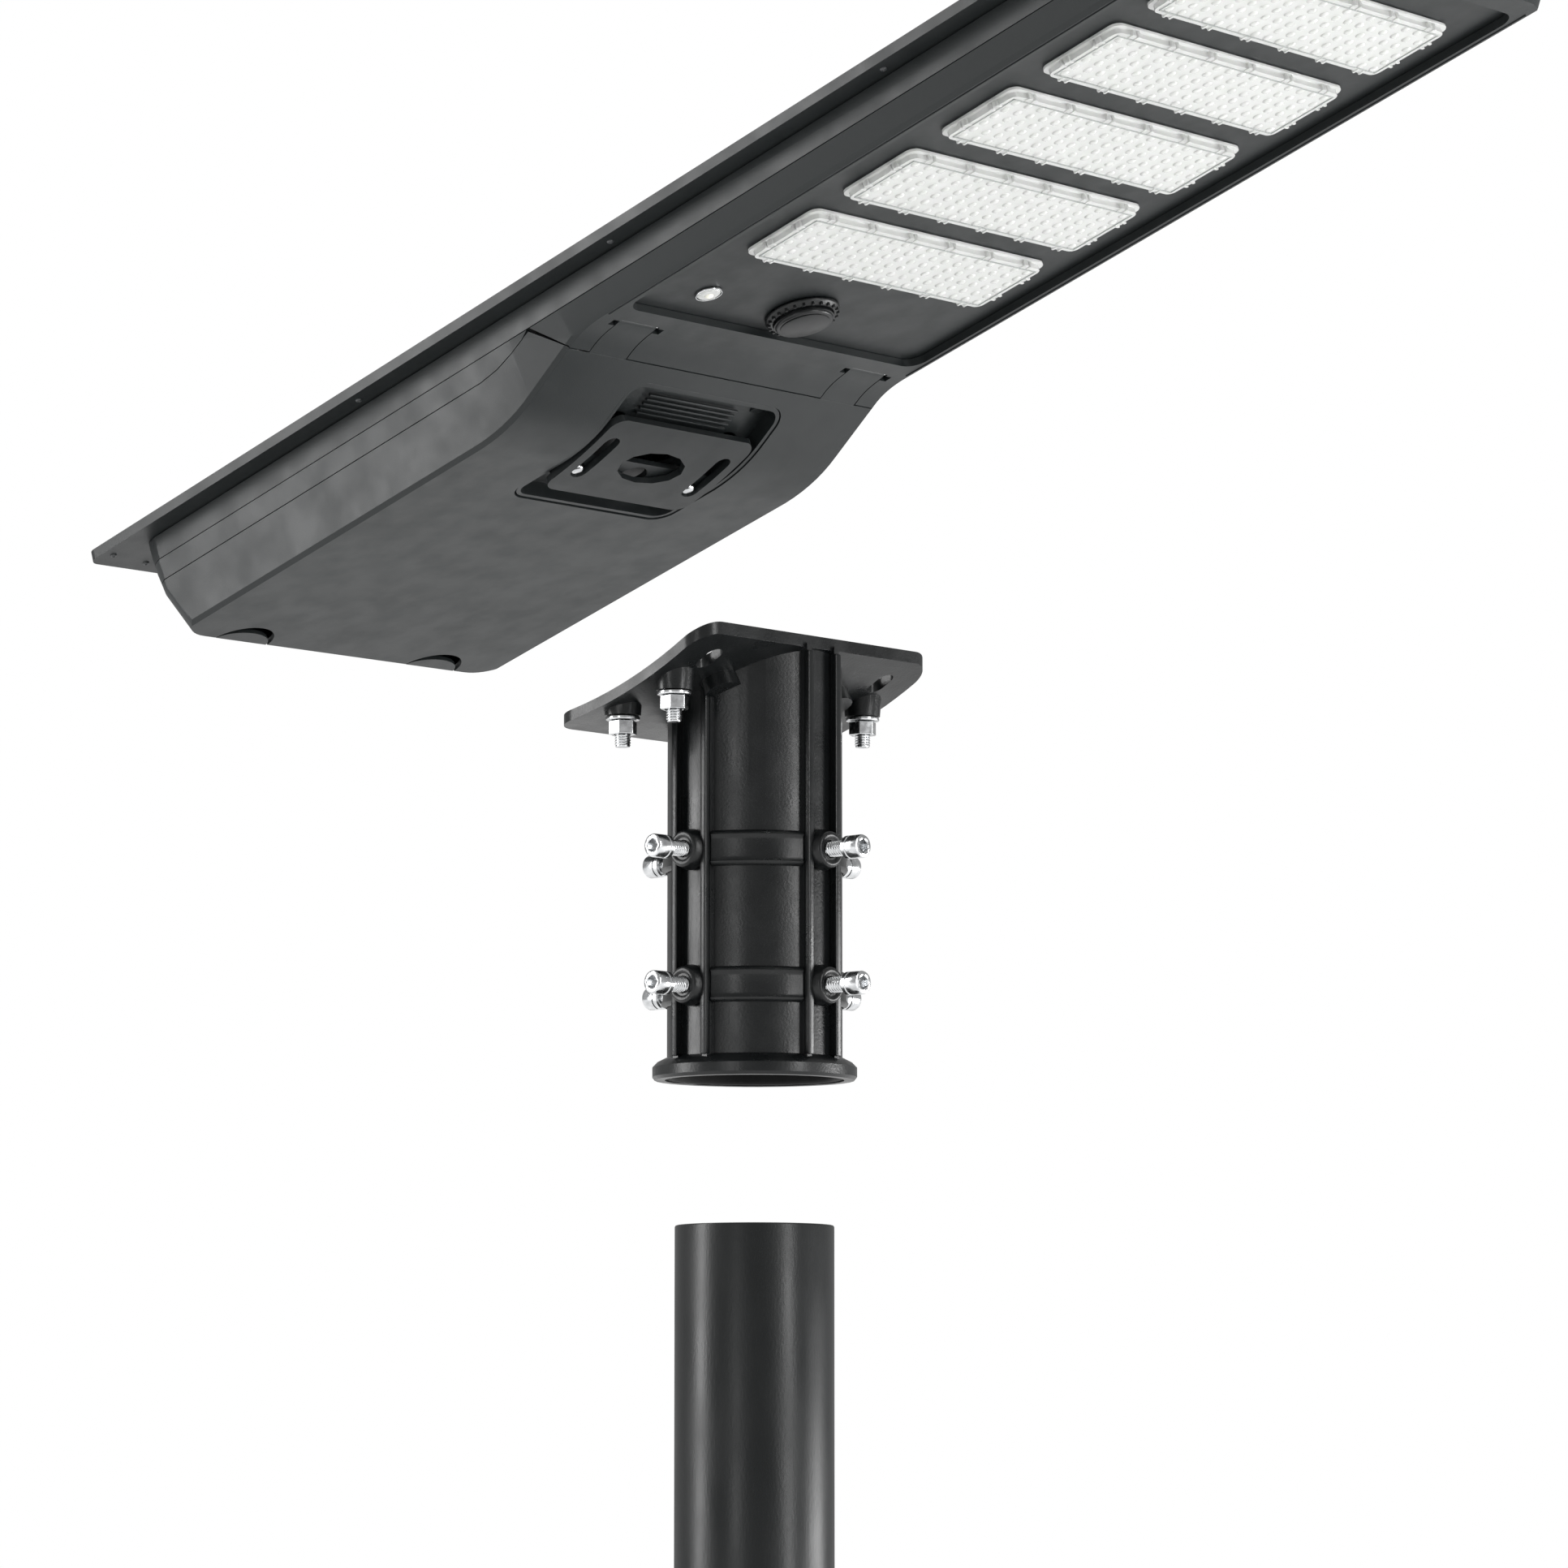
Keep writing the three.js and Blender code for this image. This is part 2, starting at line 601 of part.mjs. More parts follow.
function ledFrame() {
  const top = UPPER_SEAM_Z - GAP / 2;
  const outline = [
    [SEAM_FRONT.low, -12],
    [SEAM_FRONT.low, -8.2],
    [SEAM_FRONT.high, top],
    [FAR, top],
    [FAR, -12],
  ];
  const block = OUTER.intersect(sidePrism(outline, -FAR, FAR));
  const inside = INNER.intersect(box(WINDOW.rear - 8, FAR, -FAR, FAR, 0, FAR));
  const window = slab(
    roundedRectangle(WINDOW.rear, WINDOW.front, -WINDOW.halfWidth, WINDOW.halfWidth, WINDOW.corner),
    -FAR,
    FAR,
  );
  const pins = [-1, 1].map((side) => {
    const y = side * TONGUE_Y;
    return box(HINGE.x - 2.2, HINGE.x + 2.2, y - 17, y + 17, HINGE.z - 6, HINGE.z + 2.2);
  });
  const behind = INNER.intersect(box(-FAR, WINDOW.rear - 12, -104, 104, 3.4, FAR));
  return cut(block, inside, behind, window, ...tongueCuts(0.6), ...pins);
}

// Lower rear shell: belly, side walls, window for the pole mount, hinge tongues, latch openings.
function batteryCover() {
  const outline = [
    [-FAR, BELLY_Z - 5],
    [-FAR, BAY_SEAM_Z - GAP],
    ...TAPER.map(([x, z]) => [x, z - GAP]),
    [SEAM_FRONT.high - 1.6, UPPER_SEAM_Z - 1.2],
    [SEAM_FRONT.low - 0.7, -8.2],
    [SEAM_FRONT.low - 0.7, BELLY_Z - 5],
  ];
  const shell = cut(OUTER, INNER).intersect(sidePrism(outline, -FAR, FAR));
  const r = RECESS;
  const side = r.halfWidth + r.wall + 0.6;
  const window = slab(
    roundedRectangle(r.rear - r.wall - 1.2, r.front + r.wall + 0.6, -side, side, r.corner + 0.6),
    -60,
    20,
  );
  const tongues = [-1, 1].map((side) => hingeTongue(side * TONGUE_Y));
  const latches = [-1, 1].map((side) => latchOpening(side * LATCH_Y));
  return cut(join(shell, ...tongues), window, ...latches);
}

// Open box that holds the pole mount inside the cover's window, hung from the housing on four posts.
function mountBracket() {
  const r = RECESS;
  const tubHalf = r.halfWidth + r.wall;
  const tubPlan = roundedRectangle(r.rear - r.wall, r.front + r.wall, -tubHalf, tubHalf, r.corner);
  const deep = [...lowerPoints(0.5), ...lowerPoints(r.depth + r.wall).reverse()];
  const tub = slab(tubPlan, -60, 20).intersect(sidePrism(deep, -FAR, FAR));
  const hollowPlan = roundedRectangle(r.rear, r.front, -r.halfWidth, r.halfWidth, r.corner - r.wall);
  const hollow = slab(hollowPlan, -60, 20).intersect(
    sidePrism([...lowerPoints(-20), ...lowerPoints(r.depth).reverse()], -FAR, FAR),
  );
  const floorSlots = [-1, 1].map((side) => {
    const y = side * CLAMP_Y;
    return slab(roundedRectangle(-192, -134, y - 8.2, y + 8.2, 8), -30, 10);
  });
  const cable = slab(roundedRectangle(-170, -144, -22, 22, 12), -30, 10);
  const posts = [-1, 1].flatMap((side) => [-196, -119].map((x) =>
    upright(3.6, 3.6, x < -150 ? -21 : -10, HEAD_TOP - SHELL - GAP, x, side * 44, 12),
  ));
  return join(cut(tub, hollow, ...floorSlots, cable), ...posts);
}

function hingeTongue(y) {
  const y0 = y - TONGUE_HALF_WIDTH;
  const y1 = y + TONGUE_HALF_WIDTH;
  const lower = lowerPoints(0).filter(([x]) => x > -94 && x < HINGE.x - 1);
  const upper = lowerPoints(SHELL).filter(([x]) => x > -100 && x < HINGE.x - 3);
  const knuckleSide = [[HINGE.x, HINGE.z - HINGE.r], [HINGE.x, HINGE.z + HINGE.r - 0.6]];
  const arm = sidePrism([[-103, -11.6], ...lower, ...knuckleSide, ...upper.reverse(), [-103, -8.9]], y0, y1);
  const knuckle = crosswise(HINGE.r, y0, y1, HINGE.x, HINGE.z);
  return cut(join(arm, knuckle), crosswise(HINGE.pinR + GAP, y0 - 1, y1 + 1, HINGE.x, HINGE.z));
}

// Half-lens opening at the rear edge: the latch lever fills its rear half, fingers the rest.
function latchOpening(y) {
  const plan = new THREE.Shape();
  plan.absellipse(-396, y, 19, LATCH_HALF_WIDTH + 0.6, -Math.PI / 2, Math.PI / 2, false, 0);
  return slab(plan, BELLY_Z - 3, BELLY_Z + 6, 12).add(box(-402, -390, y - 13.6, y + 13.6, BELLY_Z - 3, BELLY_Z + 6));
}

function rearLatch(y) {
  const plan = new THREE.Shape();
  plan.absellipse(-396, y, 12, LATCH_HALF_WIDTH, -Math.PI / 2, Math.PI / 2, false, 0);
  const finger = slab(plan, BELLY_Z + 0.1, BELLY_Z + 2.3, 12).intersect(box(-394.4, -380, y - 17, y + 17, -40, 0));
  const arm = box(-391.6, -389.4, y - 12, y + 12, BELLY_Z + 1, -6);
  const barrel = crosswise(2.2, y - 12, y + 12, LATCH_PIVOT.x, LATCH_PIVOT.z, 16);
  return join(finger, arm, barrel);
}

// Curved pad that the saddle bears on, on two legs in the recess.
function mountPad() {
  const inner = ARC_R - PAD_THICKNESS;
  const from = PAD_CENTRE - PAD_HALF_ANGLE;
  const to = PAD_CENTRE + PAD_HALF_ANGLE;
  const strip = sidePrism(arcStrip(onPad, inner, ARC_R, from, to, 12), -PAD_HALF_WIDTH, PAD_HALF_WIDTH);
  const [rear] = onPad(ARC_R, from);
  const [front] = onPad(ARC_R, to);
  const plan = roundedRectangle(rear, front, -PAD_HALF_WIDTH, PAD_HALF_WIDTH, 8);
  const plate = strip.intersect(slab(plan, -60, 40, 6));
  const floor = lowerPoints(RECESS.depth - GAP);
  const outer = arcStrip(onPad, inner - 1, ARC_R - 1, from + 2, to - 2, 10);
  const legRegion = [...floor.filter(([x]) => x > -178 && x < -136).reverse(), ...outer.slice(0, 11)];
  const legs = [-1, 1].map((side) => {
    const y = side * (PAD_HALF_WIDTH - 1);
    return sidePrism([...legRegion], y - 1, y + 1);
  });
  const slots = [-1, 1].map((side) => {
    const ends = [-1, 1].map((end) =>
      padAxis(
        upright(4.5, 4.5, ARC_R - 20, ARC_R + 10, 0, 0, 12),
        side * CLAMP_Y,
        PAD_CENTRE + end * (SLOT_HALF_ANGLE - 1),
      ),
    );
    const middle = sidePrism(
      arcStrip(onPad, ARC_R - 20, ARC_R + 10, PAD_CENTRE - SLOT_HALF_ANGLE + 1, PAD_CENTRE + SLOT_HALF_ANGLE - 1, 8),
      side * CLAMP_Y - 4.5,
      side * CLAMP_Y + 4.5,
    );
    return join(middle, ...ends);
  });
  const window = new THREE.Shape();
  window.absellipse(0, 0, 12.5, 21, 0, Math.PI * 2, false, 0);
  const cable = padAxis(slab(window, ARC_R - 20, ARC_R + 10, 6), 0, PAD_CENTRE);
  return cut(join(plate, ...legs), ...slots, cable);
}

place(head, 'battery_cover', batteryCover(), MAT.shell);
place(head, 'mount_bracket', mountBracket(), MAT.shell);
place(head, 'mount_pad', mountPad(), MAT.plate);
for (const [side, name] of [[-1, 'left'], [1, 'right']]) {
  const y = side * TONGUE_Y;
  place(head, `hinge_pin_${name}`, crosswise(HINGE.pinR, y - 16.4, y + 16.4, HINGE.x, HINGE.z, 16), MAT.steel);
  place(head, `rear_latch_${name}`, rearLatch(side * LATCH_Y), MAT.shell);
}

place(head, 'bay_frame', bayFrame(), MAT.shell);
place(head, 'upper_housing', upperHousing(), MAT.shell);
place(head, 'led_frame', ledFrame(), MAT.shell);

// ---------------------------------------------------------------- light unit

function ledPlate() {
  const plan = roundedRectangle(WINDOW.rear - 5, WINDOW.front + 4, -104.4, 104.4, 8);
  const plate = slab(plan, 0.3, 2.3);
  const sensorHole = upright(9, 9, -5, 5, SENSOR_X, 0, 24);
  const lensHole = upright(4.2, 4.2, -5, 5, SENSOR_X, INDICATOR_Y, 20);
  return cut(plate, sensorHole, lensHole);
}

place(head, 'led_plate', ledPlate(), MAT.plate);

function lensModule(x) {
  const half = MODULE_LENGTH / 2;
  const low = -MODULE_HEIGHT;
  const body = join(
    slab(roundedRectangle(x, x + MODULE_WIDTH, -half, half, 5), -1.6, -0.2, 3),
    slab(roundedRectangle(x + 2, x + MODULE_WIDTH - 2, -half + 2, half - 2, 4), low, -1.4, 3),
  );
  return cut(body, box(x + 4.2, x + MODULE_WIDTH - 4.2, -half + 4.2, half - 4.2, low + 1.3, 1));
}

function ledBoard(x) {
  const half = MODULE_LENGTH / 2;
  return box(x + 4.8, x + MODULE_WIDTH - 4.8, -half + 4.8, half - 4.8, -1.8, -0.4);
}

for (let k = 0; k < MODULE_COUNT; k += 1) {
  place(head, `lens_module_${k + 1}`, lensModule(k * MODULE_PITCH), MAT.lens);
  place(head, `led_board_${k + 1}`, ledBoard(k * MODULE_PITCH), MAT.board);
}

function sensorCollar() {
  return turned([
    [8.4, 2.0],
    [8.4, -0.2],
    [18.5, -0.2],
    [18.5, -1.4],
    [16.6, -3.4],
    [14.9, -3.4],
    [14.9, -1.4],
    [6.5, -1.4],
    [6.5, 2.0],
  ], 28).translate([SENSOR_X, 0, 0]);
}

function sensorCap() {
  return turned([
    [0, -1.8],
    [14.4, -1.8],
    [14.4, -5.4],
    [13.6, -6.4],
    [0, -6.4],
  ], 28).translate([SENSOR_X, 0, 0]);
}

function indicatorLens() {
  return turned([
    [0, 2],
    [0, -1.6],
    [4.6, -1.4],
    [5.8, -0.8],
    [5.8, -0.1],
    [3.8, -0.1],
    [3.8, 2],
  ], 24).translate([SENSOR_X, INDICATOR_Y, 0]);
}

place(head, 'sensor_collar', sensorCollar(), MAT.plastic);
place(head, 'sensor_cap', sensorCap(), MAT.plastic);
place(head, 'indicator_lens', indicatorLens(), MAT.lens);

// ---------------------------------------------------------------- solar panel

function panelFrame() {
  const p = PANEL;
  const outer = slab(roundedRectangle(p.rear, p.front, -p.halfWidth, p.halfWidth, p.corner), p.bottom, p.top, 6);
  const rim = 4;
  const inner = roundedRectangle(p.rear + rim, p.front - rim, -p.halfWidth + rim, p.halfWidth - rim, p.corner - 3);
  return cut(outer, slab(inner, p.bottom + 1.5, p.top + 5, 6));
}

function panelSheet(low, high, inset) {
  const p = PANEL;
  const edge = 4 + inset;
  return slab(
    roundedRectangle(p.rear + edge, p.front - edge, -p.halfWidth + edge, p.halfWidth - edge, p.corner - 3),
    low,
    high,
    6,
  );
}

place(head, 'panel_frame', panelFrame(), MAT.aluminium);
place(head, 'solar_cells', panelSheet(PANEL.bottom + 1.8, PANEL.bottom + 2.7, 0.6), MAT.cells);
place(head, 'solar_glass', panelSheet(PANEL.bottom + 3.0, PANEL.top - 0.3, 0.4), MAT.glass);

// ---------------------------------------------------------------- battery and electronics

place(head, 'battery_pack', slab(roundedRectangle(-366, -222, -92, 92, 8), -24, 12, 6), MAT.battery);

function batteryBracket() {
  const strap = cut(box(-302, -286, -97, 97, -26.4, 15.8), box(-310, -280, -93, 93, -24.5, 14.2));
  return cut(strap, box(-310, -280, -93, 93, 12.4, 20));
}

place(head, 'battery_bracket', batteryBracket(), MAT.steel);
place(head, 'charge_controller', slab(roundedRectangle(-30, 60, -45, 45, 3), 3.4, 14, 4), MAT.plastic);

export default lamp;
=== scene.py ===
"""Look of the solar street lamp: materials, fine detail, studio and camera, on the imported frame."""
import json
import math

import bmesh
import bpy
from mathutils import Matrix, Vector


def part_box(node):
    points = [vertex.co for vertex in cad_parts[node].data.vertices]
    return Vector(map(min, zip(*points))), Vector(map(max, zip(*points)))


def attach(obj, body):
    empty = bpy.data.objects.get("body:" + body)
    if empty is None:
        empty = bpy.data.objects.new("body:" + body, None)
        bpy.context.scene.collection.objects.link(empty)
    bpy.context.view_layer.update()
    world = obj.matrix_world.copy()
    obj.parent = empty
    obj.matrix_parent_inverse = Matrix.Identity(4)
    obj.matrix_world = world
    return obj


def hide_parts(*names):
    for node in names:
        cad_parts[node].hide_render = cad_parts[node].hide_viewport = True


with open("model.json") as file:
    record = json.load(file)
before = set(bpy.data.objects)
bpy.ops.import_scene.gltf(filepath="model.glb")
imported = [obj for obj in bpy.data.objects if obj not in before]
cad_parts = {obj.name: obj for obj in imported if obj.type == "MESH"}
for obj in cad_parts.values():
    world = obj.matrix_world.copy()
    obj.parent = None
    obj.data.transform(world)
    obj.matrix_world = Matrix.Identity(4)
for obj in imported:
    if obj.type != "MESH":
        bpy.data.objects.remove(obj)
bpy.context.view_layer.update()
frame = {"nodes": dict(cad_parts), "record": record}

MM = 0.001

# ---------------------------------------------------------------- head's own frame, placed in metres

HEAD_TILT = math.radians(17.2)
HEAD = Matrix.Translation((0.0702, 0, 0.7493)) @ Matrix.Rotation(-HEAD_TILT, 4, "Y")

# ---------------------------------------------------------------- shared sizes, in millimetres

MODULE_COUNT = 5
MODULE_PITCH = 63.1
MODULE_WIDTH = 47.4
MODULE_LENGTH = 164.8
LENS_FACE_Z = -4.2
SENSOR_X = -41
INDICATOR_Y = -65

ADAPTER_Z = 369
SCREW_ROWS = {"lower": 43, "upper": 107.5}
SCREW_SIDES = {"front": 0, "right": 90, "rear": 180, "left": 270}

SADDLE_AXIS_X, SADDLE_AXIS_Z = -95.5, 799
SADDLE_LOW_R = 265.4

THREAD_R = 3.9  # radius of the screws' and bolts' thread over its crests

POLE_OUTER = 38
POLE_INNER = 35
POLE_LENGTH = 300

# ---------------------------------------------------------------- looks that several pieces share

AMBIENT = 0.4  # strength of the light that the room gives; the background itself shows at full strength
PAINT_SHINE = 0.42
FINE_EDGE_SLOTS = ("board_white", "solar_cell", "cover_glass")
FINE_EDGE, SOFT_EDGE = 0.00012, 0.00045

# ---------------------------------------------------------------- materials


def new_material(name):
    """Material with its nodes, links and main shader."""
    material = bpy.data.materials.new(name)
    material.use_nodes = True
    nodes = material.node_tree.nodes
    return material, nodes, material.node_tree.links, nodes["Principled BSDF"]


def noise(nodes, links, scale, detail=4.0, stretch=(1, 1, 1)):
    """Noise fixed to the object's own coordinates."""
    place = nodes.new("ShaderNodeTexCoord")
    mapping = nodes.new("ShaderNodeMapping")
    mapping.inputs["Scale"].default_value = stretch
    texture = nodes.new("ShaderNodeTexNoise")
    texture.inputs["Scale"].default_value = scale
    texture.inputs["Detail"].default_value = detail
    links.new(place.outputs["Object"], mapping.inputs["Vector"])
    links.new(mapping.outputs["Vector"], texture.inputs["Vector"])
    return texture.outputs["Fac"]


def ramp(nodes, links, source, stops):
    """Colours or grey levels read off a value between the given stops."""
    node = nodes.new("ShaderNodeValToRGB")
    elements = node.color_ramp.elements
    while len(elements) < len(stops):
        elements.new(0.5)
    for element, (position, colour) in zip(elements, stops):
        element.position = position
        element.color = (*colour, 1) if isinstance(colour, tuple) else (colour, colour, colour, 1)
    links.new(source, node.inputs["Fac"])
    return node.outputs["Color"]


def bump(nodes, links, height, distance, strength, under=None):
    """Surface relief, laid over an earlier relief when one is given."""
    node = nodes.new("ShaderNodeBump")
    node.inputs["Distance"].default_value = distance
    node.inputs["Strength"].default_value = strength
    links.new(height, node.inputs["Height"])
    if under is not None:
        links.new(under, node.inputs["Normal"])
    return node.outputs["Normal"]


def coated(name, dark, light, rough, grain, depth, stretch=(1, 1, 1), shine=0.5):
    """Paint, powder coat or moulded surface: mottled colour, uneven gloss and a fine grain."""
    material, nodes, links, shader = new_material(name)
    broad = noise(nodes, links, 9, 5.0, stretch)
    fine = noise(nodes, links, grain, 3.0, stretch)
    links.new(ramp(nodes, links, broad, [(0.3, dark), (0.7, light)]), shader.inputs["Base Color"])
    low, high = rough
    links.new(ramp(nodes, links, noise(nodes, links, 60, 6.0, stretch), [(0.35, low), (0.7, high)]),
              shader.inputs["Roughness"])
    ripple = bump(nodes, links, noise(nodes, links, 70, 2.0, stretch), 0.0003, 0.08)
    links.new(bump(nodes, links, fine, 0.0002, depth, ripple), shader.inputs["Normal"])
    shader.inputs["Specular IOR Level"].default_value = shine
    return material


def clear_plastic(name, tint, rough, transmission):
    """Moulded clear plastic, part see-through and part milky."""
    material, nodes, links, shader = new_material(name)
    wash = noise(nodes, links, 160, 3.0)
    links.new(ramp(nodes, links, wash, [(0.3, tint), (0.7, tuple(min(1, c * 1.05) for c in tint))]),
              shader.inputs["Base Color"])
    links.new(ramp(nodes, links, wash, [(0.3, rough), (0.7, rough * 2)]), shader.inputs["Roughness"])
    links.new(bump(nodes, links, noise(nodes, links, 420, 2.0), 0.0002, 0.12), shader.inputs["Normal"])
    shader.inputs["Transmission Weight"].default_value = transmission
    shader.inputs["IOR"].default_value = 1.49
    return material


def thin_glass(name):
    """Thin glass laid on what it covers: nearly invisible, with a clear reflection."""
    material, nodes, links, shader = new_material(name)
    smear = noise(nodes, links, 12, 3.0)
    links.new(ramp(nodes, links, smear, [(0.3, 0.05), (0.7, 0.09)]), shader.inputs["Roughness"])
    shader.inputs["Base Color"].default_value = (0.02, 0.025, 0.035, 1)
    shader.inputs["Alpha"].default_value = 0.16
    shader.inputs["Specular IOR Level"].default_value = 0.5
    return material


def solar_cells(name):
    """Dark blue cells with pale gaps and thin bus bars, laid out along the panel."""
    material, nodes, links, shader = new_material(name)
    place = nodes.new("ShaderNodeTexCoord")
    turn = nodes.new("ShaderNodeMapping")
    turn.inputs["Rotation"].default_value = (0, HEAD_TILT, 0)
    links.new(place.outputs["Object"], turn.inputs["Vector"])

    def grid(width, height, mortar):
        brick = nodes.new("ShaderNodeTexBrick")
        brick.offset = 0
        brick.inputs["Scale"].default_value = 1
        brick.inputs["Brick Width"].default_value = width
        brick.inputs["Row Height"].default_value = height
        brick.inputs["Mortar Size"].default_value = mortar
        brick.inputs["Mortar Smooth"].default_value = 0
        links.new(turn.outputs["Vector"], brick.inputs["Vector"])
        return brick

    cells = grid(0.0618, 0.0412, 0.0009)
    bars = grid(0.5, 0.0103, 0.00035)
    blues = [(0.3, (0.004, 0.008, 0.022)), (0.7, (0.009, 0.016, 0.042))]
    shade = ramp(nodes, links, noise(nodes, links, 14, 4.0), blues)
    links.new(shade, bars.inputs["Color1"])
    links.new(shade, bars.inputs["Color2"])
    bars.inputs["Mortar"].default_value = (0.32, 0.34, 0.38, 1)
    links.new(bars.outputs["Color"], cells.inputs["Color1"])
    links.new(bars.outputs["Color"], cells.inputs["Color2"])
    cells.inputs["Mortar"].default_value = (0.05, 0.055, 0.07, 1)
    links.new(cells.outputs["Color"], shader.inputs["Base Color"])
    gloss = ramp(nodes, links, noise(nodes, links, 90), [(0.3, 0.25), (0.7, 0.4)])
    links.new(gloss, shader.inputs["Roughness"])
    return material


def steel(name):
    """Bright turned steel."""
    material, nodes, links, shader = new_material(name)
    greys = [(0.3, (0.52, 0.53, 0.54)), (0.7, (0.78, 0.79, 0.8))]
    links.new(ramp(nodes, links, noise(nodes, links, 240, 4.0), greys), shader.inputs["Base Color"])
    gloss = ramp(nodes, links, noise(nodes, links, 500, 5.0), [(0.3, 0.12), (0.75, 0.3)])
    links.new(gloss, shader.inputs["Roughness"])
    links.new(bump(nodes, links, noise(nodes, links, 900, 2.0), 0.0001, 0.1), shader.inputs["Normal"])
    shader.inputs["Metallic"].default_value = 1
    return material


MATERIAL = {
    "shell_paint": coated(
        "shell_paint", dark=(0.0085, 0.0108, 0.0112), light=(0.0112, 0.014, 0.0146),
        rough=(0.38, 0.48), grain=1500, depth=0.2, shine=PAINT_SHINE),
    "plate_paint": coated(
        "plate_paint", dark=(0.0075, 0.0095, 0.01), light=(0.0098, 0.0122, 0.0128),
        rough=(0.4, 0.5), grain=1700, depth=0.18, shine=0.4),
    "frame_aluminium": coated(
        "frame_aluminium", dark=(0.0085, 0.0105, 0.011), light=(0.012, 0.0145, 0.015),
        rough=(0.36, 0.46), grain=1300, depth=0.16, shine=PAINT_SHINE),
    "casting_paint": coated(
        "casting_paint", dark=(0.0025, 0.0032, 0.0035), light=(0.0048, 0.0058, 0.0062),
        rough=(0.26, 0.38), grain=800, depth=0.4, shine=PAINT_SHINE),
    "pole_paint": coated(
        "pole_paint", dark=(0.0035, 0.0044, 0.0047), light=(0.0055, 0.0068, 0.0072),
        rough=(0.3, 0.4), grain=900, depth=0.28, stretch=(1, 1, 0.35), shine=PAINT_SHINE),
    "liner_rubber": coated(
        "liner_rubber", dark=(0.004, 0.004, 0.004), light=(0.008, 0.008, 0.008),
        rough=(0.7, 0.85), grain=900, depth=0.5, shine=0.25),
    "black_plastic": coated(
        "black_plastic", dark=(0.0045, 0.0052, 0.0056), light=(0.007, 0.008, 0.0085),
        rough=(0.3, 0.42), grain=1900, depth=0.2, shine=PAINT_SHINE),
    "board_white": coated(
        "board_white", dark=(0.88, 0.9, 0.87), light=(0.94, 0.95, 0.92),
        rough=(0.4, 0.55), grain=700, depth=0.15),
    "battery_wrap": coated(
        "battery_wrap", dark=(0.03, 0.1, 0.28), light=(0.04, 0.14, 0.36),
        rough=(0.3, 0.45), grain=400, depth=0.3),
    "stainless": steel("stainless"),
    "lens_clear": clear_plastic("lens_clear", tint=(0.96, 0.98, 0.95), rough=0.08, transmission=0.55),
    # painted shade: the rims' clear plastic is tinted dark grey to draw the dark outline along each
    # module's edge
    "lens_rim_painted_shade": clear_plastic("lens_rim_painted_shade", tint=(0.5, 0.53, 0.51), rough=0.1, transmission=0.4),
    "cover_glass": thin_glass("cover_glass"),
    "solar_cell": solar_cells("solar_cell"),
    "screw_dull": coated(
        "screw_dull", dark=(0.03, 0.032, 0.034), light=(0.06, 0.064, 0.066),
        rough=(0.3, 0.4), grain=900, depth=0.1),
    "led_chip": coated(
        "led_chip", dark=(0.86, 0.85, 0.74), light=(0.92, 0.91, 0.82),
        rough=(0.25, 0.35), grain=900, depth=0.1),
}

# ---------------------------------------------------------------- mesh helpers


def piece(name, bm, body, slot, matrix=Matrix.Identity(4), material=None, replaces=(), smooth=40):
    """A mesh drawn in millimetres becomes a piece in the row frame, riding on a CAD body."""
    bmesh.ops.remove_doubles(bm, verts=bm.verts, dist=1e-4)
    bmesh.ops.recalc_face_normals(bm, faces=bm.faces)
    mesh = bpy.data.meshes.new(name)
    bm.to_mesh(mesh)
    bm.free()
    mesh.transform(matrix @ Matrix.Scale(MM, 4))
    mesh.shade_smooth()
    mesh.set_sharp_from_angle(angle=math.radians(smooth))
    obj = bpy.data.objects.new(name, mesh)
    bpy.context.scene.collection.objects.link(obj)
    mesh.materials.append(MATERIAL[material or slot])
    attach(obj, body)
    if replaces:
        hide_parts(*replaces)


def lathe(bm, profile, segments=64, matrix=Matrix.Identity(4)):
    """Closed ring of revolution about Z from [radius, height] points; a zero radius makes a pole."""
    rings = []
    for radius, height in profile:
        if radius == 0:
            rings.append([bm.verts.new(matrix @ Vector((0, 0, height)))] * segments)
            continue
        rings.append([
            bm.verts.new(matrix @ Vector((radius * math.cos(a), radius * math.sin(a), height)))
            for a in (2 * math.pi * i / segments for i in range(segments))
        ])
    for lower, upper in zip(rings, rings[1:]):
        for i in range(segments):
            j = (i + 1) % segments
            corners = []
            for vert in (lower[i], lower[j], upper[j], upper[i]):
                if vert not in corners:
                    corners.append(vert)
            if len(corners) > 2:
                bm.faces.new(corners)


def block(bm, low, high, matrix=Matrix.Identity(4), bevel=0.0):
    """Box between two corners, with bevelled edges if asked."""
    centre = (Vector(low) + Vector(high)) / 2
    size = Vector(high) - Vector(low)
    place = matrix @ Matrix.Translation(centre) @ Matrix.Diagonal((*size, 1))
    made = bmesh.ops.create_cube(bm, size=1, matrix=place)
    if bevel:
        edges = list({edge for vert in made["verts"] for edge in vert.link_edges})
        bmesh.ops.bevel(bm, geom=edges, offset=bevel, segments=2, affect="EDGES", profile=0.5)


def thread(bm, low, high, radius, pitch, depth):
    """Helical thread along Z with a pointed crest, closed at both ends."""
    segments = 20
    steps_per_turn = 6
    run_in = 1.2
    step = pitch / steps_per_turn
    count = int((high - low) / step)
    rings = []
    for k in range(count + 1):
        z = low + (high - low) * k / count
        ring = []
        for i in range(segments):
            turn = i / segments
            angle = turn * 2 * math.pi
            phase = (z / pitch - turn) % 1
            crest = 1 - abs(2 * phase - 1)
            taper = min(1, (z - low) / run_in)
            r = radius - depth * (1 - crest * taper)
            ring.append(bm.verts.new((r * math.cos(angle), r * math.sin(angle), z)))
        rings.append(ring)
    for lower, upper in zip(rings, rings[1:]):
        for i in range(segments):
            j = (i + 1) % segments
            bm.faces.new((lower[i], lower[j], upper[j], upper[i]))
    bm.faces.new(rings[0][::-1])
    bm.faces.new(rings[-1])


# ---------------------------------------------------------------- CAD nodes that stay


